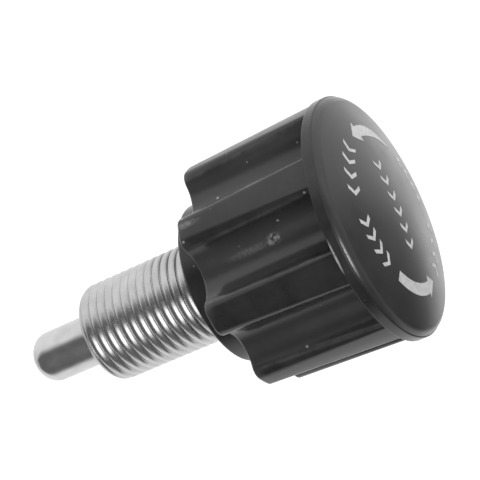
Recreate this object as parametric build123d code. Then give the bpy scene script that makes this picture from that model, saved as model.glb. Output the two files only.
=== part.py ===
from build123d import *
import os
from math import radians, sqrt, tan

# Indexing plunger: a spring-loaded pull pin with a fluted knob, as used to lock sliding posts.
#
# Millimetres. The axis of the plunger is Z and the knob is at the top. The origin is the centre
# of the barrel's front face: the pin's nose projects below it, and the barrel's thread, which
# screws into a nut in the frame, starts there and runs up to the knob.
#
# The barrel, its guide bush and its retaining ring stand still. The pin, the knob, the cap and
# the fasteners that join them slide along Z when the knob is pulled, against the spring.

# ---------------------------------------------------------------- clearances and fits
guide_clearance = 0.03      # radial, pin in its guide bore and stem in its bush
loose_clearance = 0.20      # radial, pieces that pass through others without touching
hex_clearance = 0.20        # each side, barrel hexagon in the knob's socket
stop_gap = 0.70             # barrel's rear face to the washer under the knob's web, at rest
snap_clearance = 0.08       # radial, cap legs in the knob's recess
stud_clearance = 0.25       # radial, knob's web and washers round the pin's stud
seat_clearance = 0.02       # radial, guide bush in the barrel

bevel_angle = 30            # degrees, turned bevel on the corners of hexagons

# ---------------------------------------------------------------- barrel
thread_diameter = 16.0      # M16 x 1.5
thread_pitch = 1.5
thread_depth = 0.6          # of the rings of one pitch that stand for its helix
thread_crest_width = 0.4
thread_length = 22.6
front_edge_radius = 2.0     # the turned front end that leads the thread into its nut
relief_width = 1.4          # run-out groove behind the thread
relief_diameter = 13.8
hexagon_across_flats = 17.0
hexagon_bevel = 0.9         # taken off the radius of the hexagon's corners, at both ends
guide_length = 9.5          # front part of the bore, which guides the pin
spring_bore_diameter = 11.0
rear_land = 1.0             # wall behind the retaining ring's groove

# ---------------------------------------------------------------- index pin
nose_diameter = 8.2         # working end, turned down so that a burr on it can't reach the guide
nose_projection = 12.7      # beyond the barrel's front face, at rest
nose_flat_diameter = 1.9    # small turned face at the tip, which the nose's corner runs into
shank_diameter = 8.6        # part that runs in the guide, flush with the front face at rest
shoulder_thickness = 2.0    # shoulder that the spring pushes and that stops the pin
stem_diameter = 6.0
stud_diameter = 5.0         # M5 end that carries the knob
stud_chamfer = 0.5

# ---------------------------------------------------------------- spring
wire_diameter = 1.0
wire_sides = 6              # flats that stand for the wire's round section
spring_turns = 7
spring_length = 20.0        # as assembled, pin out; a full pull of 12.7 leaves 7.3
spring_wall_clearance = 0.25

# ---------------------------------------------------------------- guide bush and retaining ring
bush_length = 3.5
bush_chamfer = 0.3
ring_thickness = 1.0
ring_groove_depth = 0.4
ring_radial_width = 1.3
ring_opening = 3.2          # gap between the ring's two ears
ring_ear_diameter = 2.4
ring_ear_hole = 1.0

# ---------------------------------------------------------------- knob
collar_gap = 0.3            # thread's end to the collar's lower edge, at rest
collar_diameter = 25.8
collar_length = 3.6
collar_edge_radius = 0.5
grip_diameter = 38.0        # over the lobes under the flange
grip_draft = 0.6            # radius that the lobes lose from there to their open ends
lobe_count = 8
flute_radius = 4.4
flute_inset = 0.1           # centres of the straight flutes inside the grip's outline
lobe_corner_radius = 0.8    # under the flange, where the lobes are crispest
lobe_open_radius = 2.0      # the same corners at the open ends, where the hand meets them
lobe_end_radius = 0.5
flange_overhang = 0.25      # flange beyond the lobes
flange_thickness = 1.7
flange_edge_radius = 0.2
web_thickness = 4.6         # between the hexagon socket and the recess
socket_lead_chamfer = 0.8
recess_diameter = 22.0
recess_depth = 7.1          # web up to the seam
core_hole_diameter = 3.2    # moulding cores that keep the lobes from sinking
core_hole_setback = 4.4     # centres of the cores inside the grip's outline
core_hole_floor = 4.0       # plastic left below each core, above the lobes' lower ends
snap_groove_depth = 0.5
snap_groove_width = 1.6
snap_groove_drop = 3.9      # seam down to the middle of the groove

# ---------------------------------------------------------------- cap
cap_setback = 0.15          # cap's edge inside the flange's
cap_height = 3.6            # seam to the top of the dome
cap_edge_height = 0.7       # seam to the corner that the dome and its upright edge would make
cap_edge_radius = 1.5       # rounding of that corner, which runs down to the seam
cap_wall = 1.6
cap_leg_thickness = 1.4
cap_leg_length = 5.2
cap_leg_count = 4
cap_leg_slot = 5.0
snap_bead_height = 0.4
snap_bead_width = 1.0

# ---------------------------------------------------------------- washers and nut
lower_washer_diameter = 15.0
upper_washer_diameter = 12.0
washer_thickness = 1.0
nut_across_flats = 8.0
nut_height = 5.0
nut_collar_height = 1.6     # round collar at the top of the nut, rolled over the locking ring
nut_collar_diameter = 7.4
nut_lip = 0.3               # metal rolled over the locking ring
locking_ring_diameter = 6.6
locking_ring_height = 1.2
thread_clearance = 0.02     # radial, nut on the stud
stud_past_nut = 0.6

# ---------------------------------------------------------------- sizes that follow
drive_bottom = thread_length + relief_width
shoulder_top = guide_length + shoulder_thickness
bush_bottom = shoulder_top + spring_length
bush_top = bush_bottom + bush_length
ring_top = bush_top + ring_thickness
barrel_length = ring_top + rear_land
web_bottom = barrel_length + stop_gap + washer_thickness
web_top = web_bottom + web_thickness
nut_bottom = web_top + washer_thickness
nut_top = nut_bottom + nut_height
seam = web_top + recess_depth
flange_underside = seam - flange_thickness
knob_open_end = thread_length + collar_gap
grip_bottom = knob_open_end + collar_length
cap_top = seam + cap_height

spring_outer_diameter = spring_bore_diameter - 2 * spring_wall_clearance
socket_across_flats = hexagon_across_flats + 2 * hex_clearance
grip_lower_diameter = grip_diameter - 2 * grip_draft
flange_diameter = grip_diameter + 2 * flange_overhang
cap_diameter = flange_diameter - 2 * cap_setback
flute_pitch = 360 / lobe_count

ALIGN_ON_FLOOR = (Align.CENTER, Align.CENTER, Align.MIN)


def turned(outline):
    """Solid of revolution about Z from (radius, height) points."""
    wire = Plane.XZ * Polyline(*outline, close=True)
    return revolve(make_face(wire), Axis.Z)


def cylinder(diameter, bottom, top):
    """Cylinder on Z between two heights."""
    return Pos(0, 0, bottom) * Cylinder(diameter / 2, top - bottom, align=ALIGN_ON_FLOOR)


def hexagon(across_flats, bottom, top):
    """Hexagonal bar on Z between two heights."""
    outline = RegularPolygon(across_flats / 2, 6, major_radius=False)
    return Pos(0, 0, bottom) * extrude(outline, top - bottom)


def corner_radius(across_flats):
    """Distance from a hexagon's centre to its corners."""
    return across_flats / sqrt(3)


def bevelled_hexagon(across_flats, bevel, bottom, top):
    """Hexagonal bar with the corners of both end faces turned away."""
    corner = corner_radius(across_flats)
    drop = bevel * tan(radians(bevel_angle))
    blank = turned([
        (0, bottom),
        (corner - bevel, bottom),
        (corner, bottom + drop),
        (corner, top - drop),
        (corner - bevel, top),
        (0, top),
    ])
    return hexagon(across_flats, bottom, top) & blank


def ring(outer_diameter, inner_diameter, bottom, top):
    """Flat ring on Z between two heights."""
    return cylinder(outer_diameter, bottom, top) - cylinder(inner_diameter, bottom, top)


def thread_rings():
    """Rod with a groove to each pitch, counted from its rear end to the rounded front edge."""
    crest = thread_diameter / 2
    root = crest - thread_depth
    groove_width = thread_pitch - thread_crest_width
    groove_count = round((thread_length - front_edge_radius) / thread_pitch)
    outline = [(0, thread_length), (crest, thread_length)]
    for number in range(groove_count):
        edge = thread_length - number * thread_pitch - thread_crest_width
        outline += [(crest, edge), (root, edge - groove_width / 2), (crest, edge - groove_width)]
    outline += [(crest, 0), (0, 0)]
    return turned(outline)


def threaded_barrel():
    """Turned from hexagon bar: thread, run-out groove, drive hexagon and a stepped bore."""
    blank = cylinder(thread_diameter, 0, thread_length)
    blank = fillet(blank.edges().sort_by(Axis.Z)[0], front_edge_radius)
    thread = blank & thread_rings()
    neck = cylinder(relief_diameter, thread_length, drive_bottom)
    drive = bevelled_hexagon(hexagon_across_flats, hexagon_bevel, drive_bottom, barrel_length)
    body = thread + neck + drive
    guide = cylinder(shank_diameter + 2 * guide_clearance, 0, guide_length)
    chamber = cylinder(spring_bore_diameter, guide_length, barrel_length)
    groove = cylinder(spring_bore_diameter + 2 * ring_groove_depth, bush_top, ring_top)
    return body - guide - chamber - groove


def index_pin():
    """One turned piece: round nose, shank, spring shoulder, thin stem and threaded stud."""
    tip = -nose_projection
    nose_radius = nose_diameter / 2
    flat = nose_flat_diameter / 2
    corner = nose_radius - flat
    nose_end = tip + corner
    middle = (flat + corner / sqrt(2), nose_end - corner / sqrt(2))
    shoulder_radius = spring_bore_diameter / 2 - loose_clearance
    stud_top = nut_top + stud_past_nut
    web_seat = barrel_length + stop_gap
    profile = [
        Line((0, tip), (flat, tip)),
        ThreePointArc((flat, tip), middle, (nose_radius, nose_end)),
        Polyline(
            (nose_radius, nose_end),
            (nose_radius, 0),
            (shank_diameter / 2, 0),
            (shank_diameter / 2, guide_length),
            (shoulder_radius, guide_length),
            (shoulder_radius, shoulder_top),
            (stem_diameter / 2, shoulder_top),
            (stem_diameter / 2, web_seat),
            (stud_diameter / 2, web_seat),
            (stud_diameter / 2, stud_top - stud_chamfer),
            (stud_diameter / 2 - stud_chamfer, stud_top),
            (0, stud_top),
            (0, tip),
        ),
    ]
    return revolve(make_face(Plane.XZ * Curve(profile)), Axis.Z)


def pin_spring():
    """Compression spring with both ends ground flat."""
    coil_radius = (spring_outer_diameter - wire_diameter) / 2
    pitch = spring_length / spring_turns
    path = Pos(0, 0, shoulder_top) * Helix(pitch, spring_length, coil_radius)
    section = Plane(origin=path @ 0, z_dir=path % 0) * RegularPolygon(wire_diameter / 2, wire_sides)
    wire = sweep(section, path=path, is_frenet=True)
    slab = cylinder(spring_bore_diameter, shoulder_top, bush_bottom)
    return wire & slab


def rear_guide_bush():
    """Bush that guides the stem and closes the spring chamber."""
    outer = spring_bore_diameter - 2 * seat_clearance
    body = ring(outer, stem_diameter + 2 * guide_clearance, bush_bottom, bush_top)
    return chamfer(body.edges().filter_by(GeomType.CIRCLE), bush_chamfer)


def bush_retaining_ring():
    """Internal retaining ring with two eyes, sprung into the barrel's groove."""
    outer = spring_bore_diameter + 2 * (ring_groove_depth - seat_clearance)
    inner = outer - 2 * ring_radial_width
    band = ring(outer, inner, bush_top, ring_top)
    gap = Pos(outer / 2, 0, bush_top) * Box(outer, ring_opening, ring_thickness, align=ALIGN_ON_FLOOR)
    body = band - gap
    eye_offset = (ring_opening + ring_ear_diameter) / 2
    eye_reach = sqrt((inner / 2) ** 2 - eye_offset ** 2)
    for side in (-1, 1):
        place = Pos(eye_reach, side * eye_offset, 0)
        body += place * cylinder(ring_ear_diameter, bush_top, ring_top)
        body -= place * cylinder(ring_ear_hole, bush_top, ring_top)
    return body


def grip_section(outer_diameter, corner):
    """Fluted outline of the grip. The flutes run straight, so the draft is only in the lobes."""
    centres = grip_diameter / 2 - flute_inset
    flutes = PolarLocations(centres, lobe_count, start_angle=flute_pitch / 2)
    outline = Circle(outer_diameter / 2) - flutes * Circle(flute_radius)
    return fillet(outline.vertices(), corner)


def knob_body():
    """One moulding: collar, eight drafted lobes, flange, hexagon socket, web and capped recess."""
    grip = loft(
        [
            Pos(0, 0, grip_bottom) * grip_section(grip_lower_diameter, lobe_open_radius),
            Pos(0, 0, flange_underside) * grip_section(grip_diameter, lobe_corner_radius),
        ],
        ruled=True,
    )
    grip = fillet(grip.edges().group_by(Axis.Z)[0], lobe_end_radius)
    collar = cylinder(collar_diameter, knob_open_end, web_bottom)
    collar = fillet(collar.edges().sort_by(Axis.Z)[0], collar_edge_radius)
    flange = cylinder(flange_diameter, flange_underside, seam)
    flange = fillet(flange.edges().filter_by(GeomType.CIRCLE), flange_edge_radius)
    body = grip + collar + flange

    socket = hexagon(socket_across_flats, knob_open_end, web_bottom)
    lead_radius = corner_radius(socket_across_flats) + socket_lead_chamfer / 2
    lead = turned([
        (0, knob_open_end),
        (lead_radius, knob_open_end),
        (lead_radius - socket_lead_chamfer, knob_open_end + socket_lead_chamfer),
        (0, knob_open_end + socket_lead_chamfer),
    ])
    recess = cylinder(recess_diameter, web_top, seam)
    stud_hole = cylinder(stud_diameter + 2 * stud_clearance, web_bottom, web_top)
    groove_middle = seam - snap_groove_drop
    groove = cylinder(
        recess_diameter + 2 * snap_groove_depth,
        groove_middle - snap_groove_width / 2,
        groove_middle + snap_groove_width / 2,
    )
    cores = PolarLocations(grip_diameter / 2 - core_hole_setback, lobe_count) * cylinder(
        core_hole_diameter, grip_bottom + core_hole_floor, seam
    )
    return body - socket - lead - recess - stud_hole - groove - cores


def cap_dome():
    """Solid of the cap's outer form, cut flat at the seam."""
    radius = cap_diameter / 2
    edge_top = seam + cap_edge_height
    edge_foot = edge_top - cap_edge_radius
    rise = cap_top - edge_top
    sphere_radius = (radius ** 2 + rise ** 2) / (2 * rise)
    half = radius / 2
    middle = (half, cap_top - sphere_radius + sqrt(sphere_radius ** 2 - half ** 2))
    outline = Curve([
        Polyline((0, cap_top), (0, edge_foot), (radius, edge_foot), (radius, edge_top)),
        ThreePointArc((radius, edge_top), middle, (0, cap_top)),
    ])
    face = make_face(Plane.XZ * outline)
    corner = face.vertices().group_by(Axis.X)[-1].sort_by(Axis.Z)[-1]
    dome = revolve(fillet(corner, cap_edge_radius), Axis.Z)
    return dome & cylinder(cap_diameter, seam, cap_top)


def dome_cap():
    """Domed cover with snap legs that hook into the knob's recess."""
    dome = cap_dome()
    shell = dome - Pos(0, 0, -cap_wall) * dome

    leg_radius = recess_diameter / 2 - snap_clearance
    leg_bottom = seam - cap_leg_length
    legs = ring(2 * leg_radius, 2 * (leg_radius - cap_leg_thickness), leg_bottom, cap_top - cap_wall)
    bead_middle = seam - snap_groove_drop
    bead = turned([
        (leg_radius - cap_leg_thickness / 2, bead_middle - snap_bead_width),
        (leg_radius, bead_middle - snap_bead_width),
        (leg_radius + snap_bead_height, bead_middle),
        (leg_radius, bead_middle + snap_bead_width / 2),
        (leg_radius - cap_leg_thickness / 2, bead_middle + snap_bead_width / 2),
    ])
    legs += bead
    slot = Pos(0, 0, leg_bottom) * Box(recess_diameter, cap_leg_slot, cap_leg_length, align=ALIGN_ON_FLOOR)
    for number in range(cap_leg_count // 2):
        legs -= Rot(0, 0, number * 360 / cap_leg_count) * slot
    return shell + legs


def clamp_washer(outer_diameter, bottom):
    """Plain washer round the pin's stud."""
    return ring(outer_diameter, stud_diameter + 2 * stud_clearance, bottom, bottom + washer_thickness)


def knob_nut():
    """Self-locking hexagon nut with a round collar that holds a plastic ring."""
    collar_bottom = nut_top - nut_collar_height
    bevel = corner_radius(nut_across_flats) - nut_across_flats / 2
    body = bevelled_hexagon(nut_across_flats, bevel, nut_bottom, collar_bottom)
    body += cylinder(nut_collar_diameter, collar_bottom, nut_top)
    ring_seat_top = nut_top - nut_lip
    body -= cylinder(stud_diameter + 2 * thread_clearance, nut_bottom, nut_top)
    body -= cylinder(locking_ring_diameter, ring_seat_top - locking_ring_height, ring_seat_top)
    return body


def nut_locking_ring():
    """Plastic ring that grips the stud inside the nut's collar."""
    ring_top_height = nut_top - nut_lip
    return ring(
        locking_ring_diameter - 2 * thread_clearance,
        stud_diameter + 2 * thread_clearance,
        ring_top_height - locking_ring_height,
        ring_top_height,
    )


PIECES = {
    "threaded_barrel": threaded_barrel(),
    "index_pin": index_pin(),
    "pin_spring": pin_spring(),
    "rear_guide_bush": rear_guide_bush(),
    "bush_retaining_ring": bush_retaining_ring(),
    "knob_body": knob_body(),
    "dome_cap": dome_cap(),
    "lower_clamp_washer": clamp_washer(lower_washer_diameter, web_bottom - washer_thickness),
    "upper_clamp_washer": clamp_washer(upper_washer_diameter, web_top),
    "knob_nut": knob_nut(),
    "nut_locking_ring": nut_locking_ring(),
}

os.makedirs("parts", exist_ok=True)
for name, piece in PIECES.items():
    export_step(piece, f"parts/{name}.step")
    size = piece.bounding_box().size
    print(f"{name}: {len(piece.solids())} solid, {piece.volume:.1f} mm3")
    print(f"    {size.X:.2f} x {size.Y:.2f} x {size.Z:.2f} mm")
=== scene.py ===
# %% [markdown]
# # Indexing plunger
# A pull pin locks a sliding post: a spring holds a round-nosed pin out of a threaded barrel, and
# a fluted knob under a domed cap pulls it back. The solids come from the CAD model, which this
# script loads first. What it adds is the fine work: the thread, the wound spring, the print on
# the cap, the finish of every surface and a small studio.

# %% Load the solids
from math import atan2, cos, degrees, hypot, pi, radians, sin, sqrt, tan

import bmesh
import bpy
from mathutils import Matrix, Vector


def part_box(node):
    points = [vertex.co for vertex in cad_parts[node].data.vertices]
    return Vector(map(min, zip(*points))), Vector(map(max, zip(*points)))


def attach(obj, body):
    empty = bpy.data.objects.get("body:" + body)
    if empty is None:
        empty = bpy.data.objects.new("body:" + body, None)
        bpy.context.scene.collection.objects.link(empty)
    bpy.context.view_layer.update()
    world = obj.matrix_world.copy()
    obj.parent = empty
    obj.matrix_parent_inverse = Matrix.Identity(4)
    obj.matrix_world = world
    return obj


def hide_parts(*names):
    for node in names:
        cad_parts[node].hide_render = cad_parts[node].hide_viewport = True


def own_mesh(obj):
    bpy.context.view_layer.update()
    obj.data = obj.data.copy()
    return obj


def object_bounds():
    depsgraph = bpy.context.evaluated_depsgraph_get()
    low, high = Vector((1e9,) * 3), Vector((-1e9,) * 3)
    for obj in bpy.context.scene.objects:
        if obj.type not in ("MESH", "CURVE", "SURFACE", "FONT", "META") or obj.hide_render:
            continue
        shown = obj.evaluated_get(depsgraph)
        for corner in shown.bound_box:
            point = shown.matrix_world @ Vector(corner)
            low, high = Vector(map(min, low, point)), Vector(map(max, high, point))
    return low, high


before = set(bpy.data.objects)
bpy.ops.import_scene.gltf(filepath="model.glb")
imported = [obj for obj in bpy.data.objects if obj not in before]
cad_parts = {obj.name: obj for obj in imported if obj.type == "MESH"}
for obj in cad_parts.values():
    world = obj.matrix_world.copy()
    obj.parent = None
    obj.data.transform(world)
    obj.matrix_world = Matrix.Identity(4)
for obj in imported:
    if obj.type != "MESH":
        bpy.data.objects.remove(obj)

MM = 0.001
cad_box = [list(corner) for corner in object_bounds()]
print("solids:", len(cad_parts), "nodes, box in mm:",
      [[round(value / MM, 2) for value in corner] for corner in cad_box])

# %% [markdown]
# ## Small helpers
# Every new piece goes through the same door: its mesh is shaded smooth with crisp creases and it
# rides on a body of the model.

# %% Turn a bmesh into a piece
CREASE = radians(29)


def make_piece(name, bm, body, crease=CREASE):
    """Closes the bmesh and returns it as an object that rides on a body."""
    bmesh.ops.recalc_face_normals(bm, faces=bm.faces)
    mesh = bpy.data.meshes.new(name)
    bm.to_mesh(mesh)
    bm.free()
    mesh.shade_smooth()
    mesh.set_sharp_from_angle(angle=crease)
    piece = bpy.data.objects.new(name, mesh)
    bpy.context.scene.collection.objects.link(piece)
    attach(piece, body)
    print(name, "has", len(mesh.polygons), "faces")
    return piece


# %% Move a ring of edges
def ring_vertices(edges):
    """The vertices that some edges join, each once."""
    return list({vertex for edge in edges for vertex in edge.verts})


def polar(vertex):
    """Angle and radius of a vertex about the plunger's axis."""
    return atan2(vertex.co.y, vertex.co.x), hypot(vertex.co.x, vertex.co.y)


def set_radius(vertex, radius):
    """Slides a vertex square to the axis until it has this radius."""
    angle = polar(vertex)[0]
    vertex.co.x = radius * cos(angle)
    vertex.co.y = radius * sin(angle)


def next_ring(bm, edges, height, radius):
    """Extrudes a ring to a height. Its radius is a number, or a function of the angle."""
    made = bmesh.ops.extrude_edge_only(bm, edges=edges)["geom"]
    ring = [item for item in made if isinstance(item, bmesh.types.BMEdge)]
    for vertex in ring_vertices(ring):
        vertex.co.z = height
        set_radius(vertex, radius(polar(vertex)[0]) if callable(radius) else radius)
    return ring


# %% [markdown]
# ## The thread
# A fine thread on a plated barrel isn't a row of rings: one ridge winds round it. A screw is
# what Blender's spin makes when each step also moves along the axis. The outline of a single
# pitch is spun, and the turns then meet edge to edge. The ridge is drawn for its look: a wide
# bowed crest and a narrow root catch the light as a plated thread does. A real thread of this
# pitch is more than twice as deep and has flat flanks, so no nut would fit this one.

# %% Outline of one pitch
PITCH = 1.5 * MM
CREST_RADIUS = 8.0 * MM
CREST_BOW = 1.05 * MM
CREST_TILT = radians(34)
SHOULDER_ROUND = 0.08 * MM
FLANK_SLOPE = radians(50)
ROOT_ROUND = 0.07 * MM
FIRST_CREST = -0.55 * MM
BOW_STEPS, ROUND_STEPS = 6, 3


def arc(centre, radius, first, last, steps):
    """Points of an arc as (height, radius from the axis), by the tilt of its surface."""
    tilts = [first + (last - first) * step / steps for step in range(steps + 1)]
    return [(centre[0] + radius * sin(tilt), centre[1] + radius * cos(tilt)) for tilt in tilts]


def half_ridge():
    """One side of a ridge: its bowed crest, its shoulder and half of the root."""
    bow = arc((0, CREST_RADIUS - CREST_BOW), CREST_BOW, 0, CREST_TILT, BOW_STEPS)
    inset = CREST_BOW - SHOULDER_ROUND
    shoulder_centre = (inset * sin(CREST_TILT), CREST_RADIUS - CREST_BOW + inset * cos(CREST_TILT))
    shoulder = arc(shoulder_centre, SHOULDER_ROUND, CREST_TILT, FLANK_SLOPE, ROUND_STEPS)
    foot = shoulder[-1]
    reach = PITCH / 2 - ROOT_ROUND * sin(FLANK_SLOPE)
    drop = (reach - foot[0]) * tan(FLANK_SLOPE)
    root_centre = (PITCH / 2, foot[1] - drop + ROOT_ROUND * cos(FLANK_SLOPE))
    return bow + shoulder[1:] + arc(root_centre, -ROOT_ROUND, FLANK_SLOPE, 0, ROUND_STEPS)


upper_half = half_ridge()
root_radius = upper_half[-1][1]
one_pitch = [(-height, radius) for height, radius in reversed(upper_half)] + upper_half[1:]
print("thread depth in mm:", round((CREST_RADIUS - root_radius) / MM, 3))

# %% Wind the thread
THREAD_END = 22.6 * MM
FRONT_EDGE = 2.0 * MM
STEPS_PER_TURN = 96
TURNS_BEFORE = 2
TURNS_IN_ALL = int(THREAD_END / PITCH) + 4
SAME_POINT = 0.001 * MM


def wind_thread():
    """The threaded surface of the barrel, cut square at both ends."""
    bm = bmesh.new()
    start = FIRST_CREST - TURNS_BEFORE * PITCH
    outline = [bm.verts.new((radius, 0, start + height)) for height, radius in one_pitch]
    edges = [bm.edges.new(pair) for pair in zip(outline, outline[1:])]
    bmesh.ops.spin(bm, geom=outline + edges, cent=(0, 0, 0), axis=(0, 0, 1), angle=2 * pi,
                   dvec=(0, 0, PITCH / STEPS_PER_TURN), steps=STEPS_PER_TURN)
    one_turn = bm.verts[:] + bm.edges[:] + bm.faces[:]
    for turn in range(1, TURNS_IN_ALL):
        copies = bmesh.ops.duplicate(bm, geom=one_turn)["geom"]
        moved = [item for item in copies if isinstance(item, bmesh.types.BMVert)]
        bmesh.ops.translate(bm, vec=(0, 0, turn * PITCH), verts=moved)
    bmesh.ops.remove_doubles(bm, verts=bm.verts, dist=SAME_POINT)
    for height, side in ((0, -1), (THREAD_END, 1)):
        bmesh.ops.bisect_plane(bm, geom=bm.verts[:] + bm.edges[:] + bm.faces[:], dist=1e-7,
                               plane_co=(0, 0, height), plane_no=(0, 0, side), clear_outer=True)
    return bm


def front_edge_radius(height):
    """Radius of the turned front end, which rounds off the first turns."""
    short = min(FRONT_EDGE, max(0, FRONT_EDGE - height))
    return CREST_RADIUS - FRONT_EDGE + sqrt(FRONT_EDGE ** 2 - short ** 2)


def edges_at(bm, height):
    """Open edges that lie in one plane square to the axis."""
    return [edge for edge in bm.edges
            if edge.is_boundary and all(abs(v.co.z - height) < SAME_POINT for v in edge.verts)]


barrel = wind_thread()
for vertex in barrel.verts:
    set_radius(vertex, min(polar(vertex)[1], front_edge_radius(vertex.co.z)))
print("thread faces:", len(barrel.faces), "open edges in front:", len(edges_at(barrel, 0)))

# %% [markdown]
# ## The rest of the barrel
# Behind the thread come a run-out neck and the hexagon that the knob turns, and a stepped bore
# runs through all of it. One ring of vertices, carried from the front of the bore round to the
# neck, draws them in a single chain of extrusions. On the hexagon its radius follows the flats,
# and near both ends the lesser of the flats and a 30 degree cone, which is how the corners of
# bar stock are turned off. All of this but the front of the bore hides in the knob until the
# knob is pulled, so the last line counts the open edges: none may be left.

# %% Hexagon that the ring follows
NECK_RADIUS = 6.9 * MM
DRIVE_BOTTOM = 24.0 * MM
BARREL_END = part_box("threaded_barrel")[1][2]
ACROSS_FLATS = 17.0 * MM
BEVEL = 0.9 * MM
BEVEL_ANGLE = radians(30)
CORNER_RADIUS = ACROSS_FLATS / sqrt(3)


def flats(angle):
    """Radius of the hexagon at an angle, with corners on X."""
    return ACROSS_FLATS / 2 / cos(angle % (pi / 3) - pi / 6)


def bevelled(depth):
    """The hexagon's outline at a depth below an end face, with its corners turned off."""
    cone = CORNER_RADIUS - BEVEL + depth / tan(BEVEL_ANGLE)
    return lambda angle: min(flats(angle), cone)


# %% Carry one ring round the barrel
GUIDE_RADIUS = 4.33 * MM
GUIDE_END = 9.5 * MM
CHAMBER_RADIUS = 5.5 * MM
GROOVE_RADIUS = 5.9 * MM
GROOVE = (35.0 * MM, 36.0 * MM)
BEVEL_STEPS = 4
NECK_START = THREAD_END + 0.3 * MM
BORE_SIDES = 144

drop = BEVEL * tan(BEVEL_ANGLE)
bevel_depths = [drop * step / BEVEL_STEPS for step in range(BEVEL_STEPS + 1)]
chain = [
    (GUIDE_END, GUIDE_RADIUS),
    (GUIDE_END, CHAMBER_RADIUS),
    (GROOVE[0], CHAMBER_RADIUS),
    (GROOVE[0], GROOVE_RADIUS),
    (GROOVE[1], GROOVE_RADIUS),
    (GROOVE[1], CHAMBER_RADIUS),
    (BARREL_END, CHAMBER_RADIUS),
]
chain += [(BARREL_END - depth, bevelled(depth)) for depth in bevel_depths]
chain += [(DRIVE_BOTTOM + depth, bevelled(depth)) for depth in reversed(bevel_depths)]
chain += [(DRIVE_BOTTOM, NECK_RADIUS), (NECK_START, NECK_RADIUS)]

circle = bmesh.ops.create_circle(barrel, segments=BORE_SIDES, radius=GUIDE_RADIUS)["verts"]
bore_mouth = list({edge for vertex in circle for edge in vertex.link_edges})
ring = bore_mouth
for height, radius in chain:
    ring = next_ring(barrel, ring, height, radius)

# %% Join the chain to the thread
thread_front = [edge for edge in edges_at(barrel, 0) if edge not in bore_mouth]
bmesh.ops.bridge_loops(barrel, edges=bore_mouth + thread_front)
thread_rear = next_ring(barrel, edges_at(barrel, THREAD_END), THREAD_END, NECK_RADIUS)
bmesh.ops.bridge_loops(barrel, edges=thread_rear + ring)
print("open edges left:", sum(edge.is_boundary for edge in barrel.edges))
barrel_piece = make_piece("barrel_with_thread", barrel, "barrel")
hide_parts("threaded_barrel")

# %% [markdown]
# ## The spring
# A compression spring's end coils lie flat against each other and are ground square, so that it
# pushes straight. The wire's round section is spun three times: one closed turn, the open turns
# and one closed turn again. Two cuts stand for the grinding, and their holes are filled.

# %% Wind the spring
WIRE_RADIUS = 0.5 * MM
COIL_RADIUS = 4.75 * MM
SPRING_TURNS = 7
spring_bottom, spring_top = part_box("pin_spring")[0][2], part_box("pin_spring")[1][2]
closed_rise = 2 * WIRE_RADIUS
open_rise = (spring_top - spring_bottom - 2 * closed_rise) / (SPRING_TURNS - 2)
COIL_STEPS = 40
WIRE_SIDES = 14

spring = bmesh.new()
section = Matrix.Translation((COIL_RADIUS, 0, spring_bottom)) @ Matrix.Rotation(pi / 2, 4, "X")
wire = bmesh.ops.create_circle(spring, segments=WIRE_SIDES, radius=WIRE_RADIUS,
                               matrix=section)["verts"]
front = wire + list({edge for vertex in wire for edge in vertex.link_edges})
for rise, turns in ((closed_rise, 1), (open_rise, SPRING_TURNS - 2), (closed_rise, 1)):
    front = bmesh.ops.spin(spring, geom=front, cent=(0, 0, 0), axis=(0, 0, 1),
                           dvec=(0, 0, rise / COIL_STEPS), angle=2 * pi * turns,
                           steps=COIL_STEPS * turns)["geom_last"]
bmesh.ops.remove_doubles(spring, verts=spring.verts, dist=SAME_POINT / 10)
for height, side in ((spring_bottom, -1), (spring_top, 1)):
    bmesh.ops.bisect_plane(spring, geom=spring.verts[:] + spring.edges[:] + spring.faces[:],
                           plane_co=(0, 0, height), plane_no=(0, 0, side), clear_outer=True)
bmesh.ops.holes_fill(spring, edges=[edge for edge in spring.edges if edge.is_boundary])
spring_piece = make_piece("wound_spring", spring, "barrel", crease=radians(50))
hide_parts("pin_spring")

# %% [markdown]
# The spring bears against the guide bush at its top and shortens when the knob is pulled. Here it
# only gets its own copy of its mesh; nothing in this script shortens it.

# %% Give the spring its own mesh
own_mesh(spring_piece)

# %% [markdown]
# ## The print on the cap
# Two curved arrows show a turn. Plain chevrons follow the rim between them, and one row crosses
# the middle. Pad printing is a film of ink, so each shape is drawn flat, laid on the dome and
# given a hair of thickness, half of it sunk into the plastic.

# %% Shape of the dome
CAP_TOP = cad_box[1][2]
CAP_RADIUS = 19.1 * MM
DOME_RISE = 2.9 * MM
sphere_radius = (CAP_RADIUS ** 2 + DOME_RISE ** 2) / (2 * DOME_RISE)
INK = 0.03 * MM
INK_ROOT = 0.03 * MM


def lay_on_dome(bm):
    """Drops flat marks onto the cap and gives them their thickness."""
    made = bmesh.ops.extrude_face_region(bm, geom=bm.faces[:])["geom"]
    lifted = {item for item in made if isinstance(item, bmesh.types.BMVert)}
    for vertex in bm.verts:
        reach = polar(vertex)[1]
        dome = CAP_TOP - sphere_radius + sqrt(sphere_radius ** 2 - reach ** 2)
        vertex.co.z = dome + (INK if vertex in lifted else -INK_ROOT)


# %% Curved arrows
ARROW_RADII = (11.7 * MM, 13.55 * MM)
HEAD_RADII = (10.9 * MM, 14.25 * MM)
ARROW_TAIL, ARROW_NECK, ARROW_TIP = radians(-59), radians(-10.5), radians(1.5)
ARROW_STEPS = 24
TAIL_GROWTH = 1.6


def at(radius, angle):
    """Point in the plane of the print."""
    return (radius * cos(angle), radius * sin(angle), 0)


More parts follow.
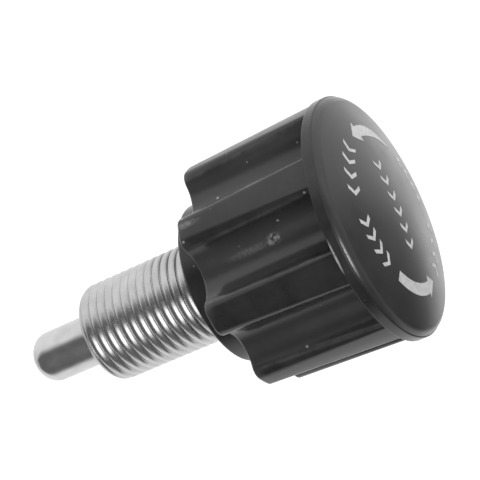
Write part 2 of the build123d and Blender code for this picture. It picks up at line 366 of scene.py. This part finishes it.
def add_arrow(bm, turn, tail_width):
    """A curved arrow that runs counter-clockwise. Its tail may be narrower than its neck."""
    middle = sum(ARROW_RADII) / 2
    half = (ARROW_RADII[1] - ARROW_RADII[0]) / 2
    rungs = []
    for step in range(ARROW_STEPS + 1):
        share = step / ARROW_STEPS
        angle = turn + ARROW_TAIL + (ARROW_NECK - ARROW_TAIL) * share
        width = half * min(1, tail_width + (1 - tail_width) * TAIL_GROWTH * share)
        rungs.append([bm.verts.new(at(middle + side * width, angle)) for side in (-1, 1)])
    for lower, upper in zip(rungs, rungs[1:]):
        bm.faces.new((lower[0], lower[1], upper[1], upper[0]))
    barbs = [bm.verts.new(at(radius, turn + ARROW_NECK)) for radius in HEAD_RADII]
    tip = bm.verts.new(at(middle, turn + ARROW_TIP))
    bm.faces.new((barbs[0], rungs[-1][0], rungs[-1][1], barbs[1], tip))


arrows = bmesh.new()
add_arrow(arrows, 0, tail_width=0.9)
add_arrow(arrows, pi, tail_width=0.25)
lay_on_dome(arrows)
arrow_piece = make_piece("cap_arrows", arrows, "puller")

# %% Chevrons
CHEVRON_SPAN = 2.6 * MM
CHEVRON_STROKE = 0.7 * MM
CHEVRON_SLOPE = 0.75


def add_chevron(bm, place):
    """One printed chevron that points along the place's Y."""
    shape = Matrix.Diagonal((CHEVRON_SPAN, CHEVRON_STROKE, 1, 1))
    made = bmesh.ops.create_grid(bm, x_segments=2, y_segments=1, size=0.5, matrix=shape)["verts"]
    for vertex in made:
        vertex.co.y -= abs(vertex.co.x) * CHEVRON_SLOPE
    bmesh.ops.transform(bm, matrix=place, verts=made)


marks = bmesh.new()
ARC_RADIUS = 12.6 * MM
ARC_TURNS = (-160, -148, -136, -124, -102, -92, -82, -72, 20, 32, 44, 56, 78, 88, 98, 108)
ROW_TURN = radians(-20)
ROW_DROP = 1.4 * MM
ROW_STEP = 2.5 * MM
ROW_COUNT = 6

for turn in ARC_TURNS:
    on_arc = Matrix.Rotation(radians(turn), 4, "Z") @ Matrix.Translation((ARC_RADIUS, 0, 0))
    add_chevron(marks, on_arc)
for number in range(ROW_COUNT):
    along = ROW_STEP * (number - (ROW_COUNT - 1) / 2)
    in_row = Matrix.Rotation(ROW_TURN, 4, "Z") @ Matrix.Translation((along, -ROW_DROP, 0))
    add_chevron(marks, in_row @ Matrix.Rotation(-pi / 2, 4, "Z"))
lay_on_dome(marks)
mark_piece = make_piece("cap_marks", marks, "puller")

# %% [markdown]
# ## Finishes
# A finish is a small tree of nodes. The helper below adds one node and wires or sets its inputs
# in the same call, so that each finish reads from top to bottom. Patterns read Object
# coordinates, which are metres here: a noise scale of 1000 has features about a millimetre wide.

# %% Helper for node trees
def add_node(tree, kind, inputs=None, **settings):
    """Adds a node. An input is a value, or a socket to link."""
    node = tree.nodes.new(kind)
    for key, value in settings.items():
        setattr(node, key, value)
    for key, value in (inputs or {}).items():
        if isinstance(value, bpy.types.NodeSocket):
            tree.links.new(value, node.inputs[key])
        else:
            node.inputs[key].default_value = value
    return node


def new_finish(name, color, roughness, metallic=0.0):
    """A material with its shader and Object coordinates ready."""
    material = bpy.data.materials.new(name)
    material.use_nodes = True
    tree = material.node_tree
    shader = tree.nodes["Principled BSDF"]
    shader.inputs["Base Color"].default_value = (*color, 1)
    shader.inputs["Roughness"].default_value = roughness
    shader.inputs["Metallic"].default_value = metallic
    where = add_node(tree, "ShaderNodeTexCoord").outputs["Object"]
    return material, tree, shader, where


def noise(tree, where, scale, detail=3.0, roughness=0.5):
    """Value of a noise pattern."""
    return add_node(tree, "ShaderNodeTexNoise", {
        "Vector": where, "Scale": scale, "Detail": detail, "Roughness": roughness,
    }).outputs["Fac"]


def remap(tree, value, old, new, interpolation="LINEAR"):
    """Moves a value from one range to another, and keeps it inside."""
    return add_node(tree, "ShaderNodeMapRange", {
        "Value": value, "From Min": old[0], "From Max": old[1], "To Min": new[0], "To Max": new[1],
    }, interpolation_type=interpolation).outputs["Result"]


def math(tree, operation, *values):
    """One step of arithmetic on sockets and numbers."""
    node = add_node(tree, "ShaderNodeMath", operation=operation)
    for socket, value in zip(node.inputs, values):
        if isinstance(value, bpy.types.NodeSocket):
            tree.links.new(value, socket)
        else:
            socket.default_value = value
    return node.outputs[0]


def mix_colors(tree, share, first, second):
    """Blend of two colours, each a triple or a socket."""
    node = add_node(tree, "ShaderNodeMix", data_type="RGBA")
    tree.links.new(share, node.inputs["Factor"])
    for name, color in (("A", first), ("B", second)):
        socket = next(s for s in node.inputs if s.name == name and s.type == "RGBA")
        if isinstance(color, bpy.types.NodeSocket):
            tree.links.new(color, socket)
        else:
            socket.default_value = (*color, 1)
    return next(s for s in node.outputs if s.type == "RGBA")


def reach_from_axis(tree, where):
    """Distance from the plunger's axis."""
    flat = add_node(tree, "ShaderNodeVectorMath", {0: where, 1: (1, 1, 0)},
                    operation="MULTIPLY").outputs["Vector"]
    return add_node(tree, "ShaderNodeVectorMath", {0: flat}, operation="LENGTH").outputs["Value"]


def near(tree, where, place, stretch, inner, outer):
    """1 within a distance of a place, falling to 0. Stretch scales the axes before measuring."""
    offset = add_node(tree, "ShaderNodeVectorMath", {0: where, 1: place},
                      operation="SUBTRACT").outputs["Vector"]
    scaled = add_node(tree, "ShaderNodeVectorMath", {0: offset, 1: stretch},
                      operation="MULTIPLY").outputs["Vector"]
    length = add_node(tree, "ShaderNodeVectorMath", {0: scaled}, operation="LENGTH")
    return remap(tree, length.outputs["Value"], (inner, outer), (1, 0), "SMOOTHSTEP")


def bump(tree, shader, height, strength, distance):
    """Gives the shader a relief."""
    node = add_node(tree, "ShaderNodeBump", {
        "Height": height, "Strength": strength, "Distance": distance,
    })
    tree.links.new(node.outputs["Normal"], shader.inputs["Normal"])


def wear_on(node, material):
    """Gives a node's object, or a new piece, one finish."""
    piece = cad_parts[node] if isinstance(node, str) else node
    piece.data.materials.clear()
    piece.data.materials.append(material)


# %% [markdown]
# ### Zinc on steel
# Bright zinc is a mirror seen through a faint haze. The haze is uneven, and the plating is
# slightly grainy, which breaks up the highlights on the thread. Shade is painted into the
# thread's root as a darker grey, the more so next to the knob, where the knob shades the barrel.

# %% Zinc plate
# Painted shade: the thread's root is drawn in a darker grey, deepest next to the knob and at one
# place on its top side, where the knob shades the barrel.
KNOB_SHADE_PLACE = (-8.0 * MM, 0.0, 20.0 * MM)
KNOB_SHADE_REACH = (3.5 * MM, 7.0 * MM)
KNOB_SHADE_HEIGHTS = (19.0 * MM, 21.5 * MM)
ROOT_SHADE_HEIGHT = 0.4 * MM
PAINTED_SHADE = (0.16, 0.155, 0.15)
PALER = 1.12


def zinc(name, color, haze, grain, waves, root=None):
    """Bright zinc plate, wavy and grainy. A root radius adds painted shade at the bottom of a
    thread, deepest by the knob.
    """
    material, tree, shader, where = new_finish(name, color, sum(haze) / 2, metallic=1.0)
    cloud = noise(tree, where, 420, detail=4)
    pale = tuple(min(1, value * PALER) for value in color)
    plate = mix_colors(tree, remap(tree, cloud, (0.35, 0.65), (0, 1)), color, pale)
    fine = noise(tree, where, 2600, detail=4, roughness=0.65)
    blur = remap(tree, fine, (0.3, 0.75), haze)
    # Painted shade in the root and next to the knob.
    if root:
        deep = remap(tree, reach_from_axis(tree, where), (root, root + ROOT_SHADE_HEIGHT), (1, 0),
                     "SMOOTHSTEP")
        knob_shade = near(tree, where, KNOB_SHADE_PLACE, (1, 1, 0.8), *KNOB_SHADE_REACH)
        height = add_node(tree, "ShaderNodeSeparateXYZ", {"Vector": where}).outputs["Z"]
        knob_shade = math(tree, "MAXIMUM", knob_shade, remap(tree, height, KNOB_SHADE_HEIGHTS, (0, 0.8)))
        shade_mask = math(tree, "MULTIPLY", deep, math(tree, "MULTIPLY_ADD", knob_shade, 0.8, 0.15))
        plate = mix_colors(tree, shade_mask, plate, PAINTED_SHADE)
        blur = math(tree, "ADD", blur, math(tree, "MULTIPLY", shade_mask, 0.25))
    tree.links.new(plate, shader.inputs["Base Color"])
    tree.links.new(blur, shader.inputs["Roughness"])
    relief = math(tree, "MULTIPLY_ADD", fine, grain, math(tree, "MULTIPLY", cloud, waves))
    bump(tree, shader, relief, 1.0, 0.02 * MM)
    return material


barrel_zinc = zinc("barrel zinc", (0.55, 0.55, 0.555), (0.16, 0.30), 0.2, 0.8, root_radius)
wear_on(barrel_piece, barrel_zinc)
wear_on("index_pin", zinc("pin zinc", (0.60, 0.60, 0.605), (0.16, 0.24), 0.05, 1.6))
washer_zinc = zinc("washer zinc", (0.62, 0.62, 0.64), (0.22, 0.38), 0.3, 0.3)
for node in ("lower_clamp_washer", "upper_clamp_washer", "knob_nut"):
    wear_on(node, washer_zinc)
wear_on(spring_piece, zinc("spring wire", (0.34, 0.33, 0.32), (0.25, 0.4), 0.3, 0.3))
wear_on("bush_retaining_ring", zinc("blackened ring", (0.10, 0.10, 0.10), (0.3, 0.45), 0.3, 0.2))
wear_on("rear_guide_bush", zinc("turned brass", (0.72, 0.52, 0.25), (0.2, 0.35), 0.2, 0.2))

# %% [markdown]
# ### Knob plastic
# The knob is a glossy black moulding that has been handled. Its gloss is uneven, and dust lies on
# it as pale specks and as a film in the flutes. A painted highlight runs along the lobes'
# corners and round their open ends, a painted glint along one stretch of the flange's edge,
# and paler patches on two lobes are partly painted highlight and partly rubs. A knock has left
# a chip in one flute with a scuffed trail before it. Each mark is a mask, 1 where the mark is
# and 0 elsewhere, which later chooses a paler grey.

# %% Places of the marks
CHIP_PLACE = (-6.54 * MM, -13.72 * MM, 39.4 * MM)
TRAIL_MIDDLE = (-6.35 * MM, -13.7 * MM, 35.3 * MM)
SPECK_PLACES = [(-7.51, -12.98, 34.1), (-6.76, -16.14, 32.4), (-5.38, -17.8, 37.8),
                (-1.45, -18.34, 36.2), (6.56, -16.76, 35.3)]
SPECK_RADIUS = 0.16 * MM
# Paler patches: the first two paint a highlight on a lobe's upper corner, the last two are rubs at
# the open end.
HIGHLIGHT_AND_RUB_PLACES = [(-14.65, -10.85, 40.0), (-14.65, -10.85, 46.0),
              (-13.2, -12.2, 28.0), (-3.3, -17.7, 28.0)]
# A painted glint on the flange's lower edge.
FLANGE_GLINT = (-1.9 * MM, -19.05 * MM, 48.85 * MM)
FLUTE_REACH = (16.2 * MM, 18.3 * MM)
LOBE_PITCH = radians(45)
LOBE_CORNER = radians(8.8)
LOBE_REACH = (16.8 * MM, 17.8 * MM)
GRIP_BOTTOM = 26.5 * MM
OPEN_END = (26.7 * MM, 28.4 * MM)
FLANGE_UNDERSIDE = 48.7 * MM

# %% Dust specks
DUST_CELLS, DUST_SIZE, DUST_SHARE = 420, 0.12, 0.35


def dust(tree, where, scale, size, share):
    """Round specks in a random few of a pattern's cells."""
    cells = add_node(tree, "ShaderNodeTexVoronoi", {"Vector": where, "Scale": scale})
    dot = remap(tree, cells.outputs["Distance"], (size * 0.5, size), (1, 0))
    draw = add_node(tree, "ShaderNodeSeparateColor", {"Color": cells.outputs["Color"]})
    chosen = math(tree, "LESS_THAN", draw.outputs["Red"], share)
    return math(tree, "MULTIPLY", dot, chosen)


def all_specks(tree, where):
    """Faint dust all over the knob, and a few pale specks in their own places."""
    specks = math(tree, "MULTIPLY", dust(tree, where, DUST_CELLS, DUST_SIZE, DUST_SHARE), 0.5)
    for place in SPECK_PLACES:
        spot = near(tree, where, [value * MM for value in place], (1, 1, 0.7), 0, SPECK_RADIUS)
        specks = math(tree, "MAXIMUM", specks, spot)
    return specks


# %% Painted highlights on the corners, painted glint and rubs
def corner_highlights(tree, where, reach, cloud):
    """Painted highlight along the corners of all lobes and round their open ends, broken up
    unevenly.
    """
    x, y, height = add_node(tree, "ShaderNodeSeparateXYZ", {"Vector": where}).outputs
    from_lobe = math(tree, "PINGPONG", math(tree, "ARCTAN2", y, x), LOBE_PITCH / 2)
    off_corner = math(tree, "ABSOLUTE", math(tree, "SUBTRACT", from_lobe, LOBE_CORNER))
    corner = remap(tree, off_corner, (radians(0.2), radians(0.9)), (1, 0))
    corner = math(tree, "MULTIPLY", corner, math(tree, "LESS_THAN", height, FLANGE_UNDERSIDE))
    painted_highlight = math(tree, "MAXIMUM", corner, remap(tree, height, OPEN_END, (1, 0)))
    painted_highlight = math(tree, "MULTIPLY", painted_highlight, remap(tree, reach, LOBE_REACH, (0, 1)))
    return math(tree, "MULTIPLY", painted_highlight, remap(tree, cloud, (0.35, 0.6), (0.15, 1)))


def glints_and_rubs(tree, where, crumbs):
    """A painted glint on the flange's edge, and paler patches on two lobes that are partly painted
    highlight and partly rubs.
    """
    pale_patch = near(tree, where, FLANGE_GLINT, (0.09, 0.2, 1), 0.1 * MM, 0.3 * MM)
    pale_patch = math(tree, "MULTIPLY", pale_patch, remap(tree, crumbs, (0.35, 0.5), (0.3, 1)))
    for place in HIGHLIGHT_AND_RUB_PLACES:
        rub_and_highlight = near(tree, where, [value * MM for value in place], (1, 1, 0.22), 0.2 * MM, 0.9 * MM)
        rub_and_highlight = math(tree, "MULTIPLY", rub_and_highlight, remap(tree, crumbs, (0.35, 0.55), (0, 0.5)))
        pale_patch = math(tree, "MAXIMUM", pale_patch, rub_and_highlight)
    return pale_patch


# %% Glossy black moulding
def knob_plastic():
    """Glossy black, with its marks laid over each other from the faintest to the palest."""
    material, tree, shader, where = new_finish("knob plastic", (0.016, 0.016, 0.017), 0.28)
    cloud = noise(tree, where, 260, detail=5, roughness=0.6)
    crumbs = noise(tree, where, 1700, detail=5, roughness=0.7)
    trail = near(tree, where, TRAIL_MIDDLE, (1, 1, 0.17), 0.2 * MM, 1.0 * MM)
    chip = near(tree, where, CHIP_PLACE, (1, 1, 0.7), 0.35 * MM, 1.2 * MM)
    broken = math(tree, "MULTIPLY", chip, remap(tree, crumbs, (0.44, 0.6), (0, 1)))
    rubbed = math(tree, "MULTIPLY", trail, remap(tree, crumbs, (0.35, 0.65), (0.25, 0.9)))
    reach = reach_from_axis(tree, where)
    height = add_node(tree, "ShaderNodeSeparateXYZ", {"Vector": where}).outputs["Z"]
    film = remap(tree, reach, FLUTE_REACH, (0.6, 0), "SMOOTHSTEP")
    film = math(tree, "MULTIPLY", film, math(tree, "GREATER_THAN", height, GRIP_BOTTOM))
    base = mix_colors(tree, remap(tree, cloud, (0.35, 0.7), (0, 1)),
                      (0.013, 0.013, 0.0135), (0.021, 0.021, 0.022))
    # Painted highlights and glints: the corner mask and the glints and rubs choose paler greys.
    for mask, grey in ((film, 0.045), (corner_highlights(tree, where, reach, cloud), 0.05),
                       (rubbed, 0.13), (glints_and_rubs(tree, where, crumbs), 0.36), (broken, 0.42),
                       (all_specks(tree, where), 0.5)):
        base = mix_colors(tree, mask, base, (grey, grey, grey))
    tree.links.new(base, shader.inputs["Base Color"])
    gloss = remap(tree, cloud, (0.3, 0.7), (0.16, 0.27))
    gloss = math(tree, "MULTIPLY_ADD", math(tree, "ADD", rubbed, broken), 0.3, gloss)
    tree.links.new(gloss, shader.inputs["Roughness"])
    relief = math(tree, "MULTIPLY_ADD", cloud, 0.35, math(tree, "MULTIPLY", broken, 6.0))
    bump(tree, shader, relief, 0.25, 0.05 * MM)
    return material


wear_on("knob_body", knob_plastic())

# %% [markdown]
# ### Cap plastic and ink
# The cap comes from another mould: a satin grey that is almost black, with the fine even grain
# of a spark-eroded tool. It is paler towards the middle of the dome, and a painted glint lies
# on its rim. The ink on it is matt and pale. The nylon ring in the nut is hidden under the cap.

# %% Satin cap
PALER_MIDDLE_REACH = (6.0 * MM, 19.0 * MM)
# A painted glint on the cap's rounded lower edge, by the seam.
CAP_RIM_GLINT = (-1.25 * MM, -19.1 * MM, 50.5 * MM)


def cap_plastic():
    """Satin dark grey with a fine grain, paler towards the middle of the dome, with a painted
    glint on its rim.
    """
    material, tree, shader, where = new_finish("cap plastic", (0.032, 0.032, 0.033), 0.3)
    cloud = noise(tree, where, 180, detail=4)
    grain = noise(tree, where, 5200, detail=2)
    base = mix_colors(tree, remap(tree, cloud, (0.3, 0.7), (0, 1)),
                      (0.022, 0.022, 0.023), (0.029, 0.029, 0.030))
    # The dome is made paler towards its middle.
    film = remap(tree, reach_from_axis(tree, where), PALER_MIDDLE_REACH, (0.5, 0), "SMOOTHSTEP")
    base = mix_colors(tree, film, base, (0.055, 0.055, 0.055))
    # Painted glint on the rim.
    pale_patch = near(tree, where, CAP_RIM_GLINT, (0.06, 0.15, 1), 0.05 * MM, 0.25 * MM)
    pale_patch = math(tree, "MULTIPLY", pale_patch, remap(tree, grain, (0.35, 0.5), (0.3, 1)))
    base = mix_colors(tree, pale_patch, base, (0.36, 0.36, 0.36))
    tree.links.new(base, shader.inputs["Base Color"])
    tree.links.new(remap(tree, cloud, (0.3, 0.7), (0.27, 0.34)), shader.inputs["Roughness"])
    bump(tree, shader, grain, 0.25, 0.02 * MM)
    return material


def ink():
    """Pale pad-printing ink, thin in places."""
    material, tree, shader, where = new_finish("cap ink", (0.5, 0.5, 0.5), 0.5)
    cover = noise(tree, where, 1500, detail=3)
    tint = mix_colors(tree, remap(tree, cover, (0.3, 0.6), (0, 1)),
                      (0.33, 0.33, 0.33), (0.43, 0.43, 0.43))
    tree.links.new(tint, shader.inputs["Base Color"])
    return material


def nylon():
    """Dyed nylon, slightly cloudy."""
    material, tree, shader, where = new_finish("locking nylon", (0.1, 0.22, 0.5), 0.45)
    cloud = noise(tree, where, 900)
    tree.links.new(mix_colors(tree, cloud, (0.08, 0.18, 0.42), (0.12, 0.26, 0.58)),
                   shader.inputs["Base Color"])
    return material


wear_on("dome_cap", cap_plastic())
cap_ink = ink()
wear_on(arrow_piece, cap_ink)
wear_on(mark_piece, cap_ink)
wear_on("nut_locking_ring", nylon())

# %% [markdown]
# ## Camera
# The plunger's axis leans to the right in the picture and towards the viewer. Those two angles,
# with the way the knob is turned about its axis, fix the camera's rotation: the three axes of
# the model, written in the camera's own directions, are the columns of its inverse.

# %% Look from the near side
LEAN_TO_VIEWER = radians(24.09)
LEAN_UP = radians(23.89)
LOBE_TURN = radians(13.5)
FRONT_FACE = Vector((-21.5, -15.0, -300.0)) * MM
FOCAL_PIXELS = 1893
PICTURE_PIXELS = 480
SENSOR_WIDTH = 36

axis = Vector((cos(LEAN_TO_VIEWER) * cos(LEAN_UP), cos(LEAN_TO_VIEWER) * sin(LEAN_UP),
               sin(LEAN_TO_VIEWER)))
near_side = (Vector((0, 0, 1)) - sin(LEAN_TO_VIEWER) * axis).normalized()
down_side = axis.cross(near_side)
x_axis = down_side * cos(LOBE_TURN) - near_side * sin(LOBE_TURN)
model_in_camera = Matrix((x_axis, axis.cross(x_axis), axis)).transposed()
to_model = model_in_camera.inverted()
lens = bpy.data.cameras.new("camera")
lens.sensor_width = SENSOR_WIDTH
lens.lens = SENSOR_WIDTH * FOCAL_PIXELS / PICTURE_PIXELS
lens.clip_start = 0.01
camera = bpy.data.objects.new("camera", lens)
camera.matrix_world = Matrix.Translation(to_model @ -FRONT_FACE) @ to_model.to_4x4()
bpy.context.scene.collection.objects.link(camera)
bpy.context.scene.camera = camera
print("camera at mm:", [round(value / MM, 1) for value in camera.matrix_world.translation])

# %% [markdown]
# ## Studio
# Shiny metal shows the room, so the room is drawn with care: a white surround, a dark gap in
# front of the object and to its right where the room isn't lit, and one bright soft panel inside
# that gap, which makes the row of highlights on the thread. Behind the object two patches are a
# little brighter and one is a little darker. Each panel is a patch of the world given by its
# compass turn from the near side and its height, both in degrees. The camera itself sees plain
# white. These numbers were found by trial, so that the metal looks right from the near side.

# %% Panels of the world
NEAR_TURN = -103.5
GAP_DEPTH = 0.84
world = bpy.data.worlds.new("studio")
world.use_nodes = True
bpy.context.scene.world = world
sky = world.node_tree
sky.nodes.clear()
way = add_node(sky, "ShaderNodeTexCoord").outputs["Generated"]
height = add_node(sky, "ShaderNodeSeparateXYZ", {"Vector": way}).outputs["Z"]
rise = math(sky, "MULTIPLY", math(sky, "ARCSINE", height), degrees(1))


def panel(turn, elevation, half_width, half_height, soft):
    """1 inside a soft-edged patch of the world, 0 outside."""
    turned = add_node(sky, "ShaderNodeVectorRotate", {
        "Vector": way, "Angle": -radians(NEAR_TURN + turn),
    }, rotation_type="Z_AXIS").outputs["Vector"]
    flat = add_node(sky, "ShaderNodeSeparateXYZ", {"Vector": turned})
    aside = math(sky, "ARCTAN2", flat.outputs["Y"], flat.outputs["X"])
    aside = math(sky, "ABSOLUTE", math(sky, "MULTIPLY", aside, degrees(1)))
    across = remap(sky, aside, (half_width - soft, half_width + soft), (1, 0), "SMOOTHSTEP")
    above = math(sky, "ABSOLUTE", math(sky, "SUBTRACT", rise, elevation))
    upright = remap(sky, above, (half_height - soft, half_height + soft), (1, 0), "SMOOTHSTEP")
    return math(sky, "MULTIPLY", across, upright)


gap = math(sky, "MAXIMUM", panel(21, -10, 61, 72, 15), panel(76, 25, 28, 36, 10))
ceiling = remap(sky, rise, (42, 72), (1.0, 0.6))
under = remap(sky, rise, (-90, -58), (0.65, 1.0))
dimmed = math(sky, "MULTIPLY", ceiling, under)
room = math(sky, "MULTIPLY", dimmed, math(sky, "MULTIPLY_ADD", gap, -GAP_DEPTH, 1.0))
for patch, strength in (
    (panel(19, 14, 20, 29, 10), 2.1),
    (panel(-128, 24, 40, 30, 14), 0.12),
    (panel(176, 3, 30, 14, 9), 0.5),
    (panel(-164, 36, 22, 22, 10), -0.2),
):
    room = math(sky, "ADD", room, math(sky, "MULTIPLY", patch, strength))
light = add_node(sky, "ShaderNodeBackground", {"Color": (1, 1, 1, 1), "Strength": room})
white = add_node(sky, "ShaderNodeBackground", {"Color": (1, 1, 1, 1), "Strength": 1.0})
seen = add_node(sky, "ShaderNodeLightPath").outputs["Is Camera Ray"]
shown = add_node(sky, "ShaderNodeMixShader", {0: seen, 1: light.outputs[0], 2: white.outputs[0]})
add_node(sky, "ShaderNodeOutputWorld", {"Surface": shown.outputs[0]})

# %% [markdown]
# The cap's right side and the barrel's underside face the same way, so a far room would look
# the same in both. To keep the cap dark and the barrel bright, something near is needed: a round
# black card beside the cap, soft at its rim, that only reflections see.

# %% Black card beside the cap
CARD_TURN, CARD_RISE = radians(NEAR_TURN + 144), radians(43)
CARD_DISTANCE = 75 * MM
CARD_RADIUS = 62 * MM
CARD_MIDDLE = 0.55
card_way = Vector((cos(CARD_RISE) * cos(CARD_TURN), cos(CARD_RISE) * sin(CARD_TURN),
                   sin(CARD_RISE)))
card_mesh = bmesh.new()
bmesh.ops.create_circle(card_mesh, cap_ends=True, segments=48, radius=CARD_RADIUS)
mesh = bpy.data.meshes.new("black card")
card_mesh.to_mesh(mesh)
card_mesh.free()
card = bpy.data.objects.new("black card", mesh)
card.location = Vector((0, 0, CAP_TOP)) + card_way * CARD_DISTANCE
card.rotation_euler = card_way.to_track_quat("Z", "Y").to_euler()
bpy.context.scene.collection.objects.link(card)
for kind in ("camera", "diffuse", "transmission", "volume_scatter", "shadow"):
    setattr(card, "visible_" + kind, False)
cloth, tree, shader, where = new_finish("card cloth", (0.01, 0.01, 0.01), 0.9)
reach = add_node(tree, "ShaderNodeVectorMath", {0: where}, operation="LENGTH").outputs["Value"]
rim = remap(tree, reach, (CARD_MIDDLE * CARD_RADIUS, CARD_RADIUS), (0, 1), "SMOOTHSTEP")
clear = add_node(tree, "ShaderNodeBsdfTransparent")
soft_rim = add_node(tree, "ShaderNodeMixShader",
                    {0: rim, 1: shader.outputs[0], 2: clear.outputs[0]})
tree.links.new(soft_rim.outputs[0], tree.nodes["Material Output"].inputs["Surface"])
mesh.materials.append(cloth)

# %% [markdown]
# The floor lies below the plunger's nose. It takes the object's shadow, and a little glow that
# only the camera sees lifts it to white.

# %% Floor
FLOOR_DROP = 70 * MM
FLOOR_SIZE = 3
FLOOR_GLOW = 0.35
floor_mesh = bmesh.new()
bmesh.ops.create_grid(floor_mesh, x_segments=1, y_segments=1, size=FLOOR_SIZE,
                      matrix=Matrix.Translation((0, 0, -FLOOR_DROP)))
mesh = bpy.data.meshes.new("floor")
floor_mesh.to_mesh(mesh)
floor_mesh.free()
floor = bpy.data.objects.new("floor", mesh)
bpy.context.scene.collection.objects.link(floor)
floor.visible_glossy = False
paint, tree, shader, _ = new_finish("floor paint", (0.8, 0.8, 0.8), 0.9)
glow = add_node(tree, "ShaderNodeLightPath").outputs["Is Camera Ray"]
shader.inputs["Emission Color"].default_value = (1, 1, 1, 1)
tree.links.new(math(tree, "MULTIPLY", glow, FLOOR_GLOW), shader.inputs["Emission Strength"])
mesh.materials.append(paint)

# %% Lamp overhead
lamp_data = bpy.data.lights.new("overhead", "AREA")
lamp_data.shape = "DISK"
lamp_data.size = 0.35
lamp_data.energy = 2.2
lamp = bpy.data.objects.new("overhead", lamp_data)
lamp.location = (-0.25, -0.1, 0.5)
lamp.rotation_euler = Vector(lamp.location).to_track_quat("Z", "Y").to_euler()
lamp.visible_glossy = False
bpy.context.scene.collection.objects.link(lamp)
bpy.context.scene.view_settings.view_transform = "Standard"
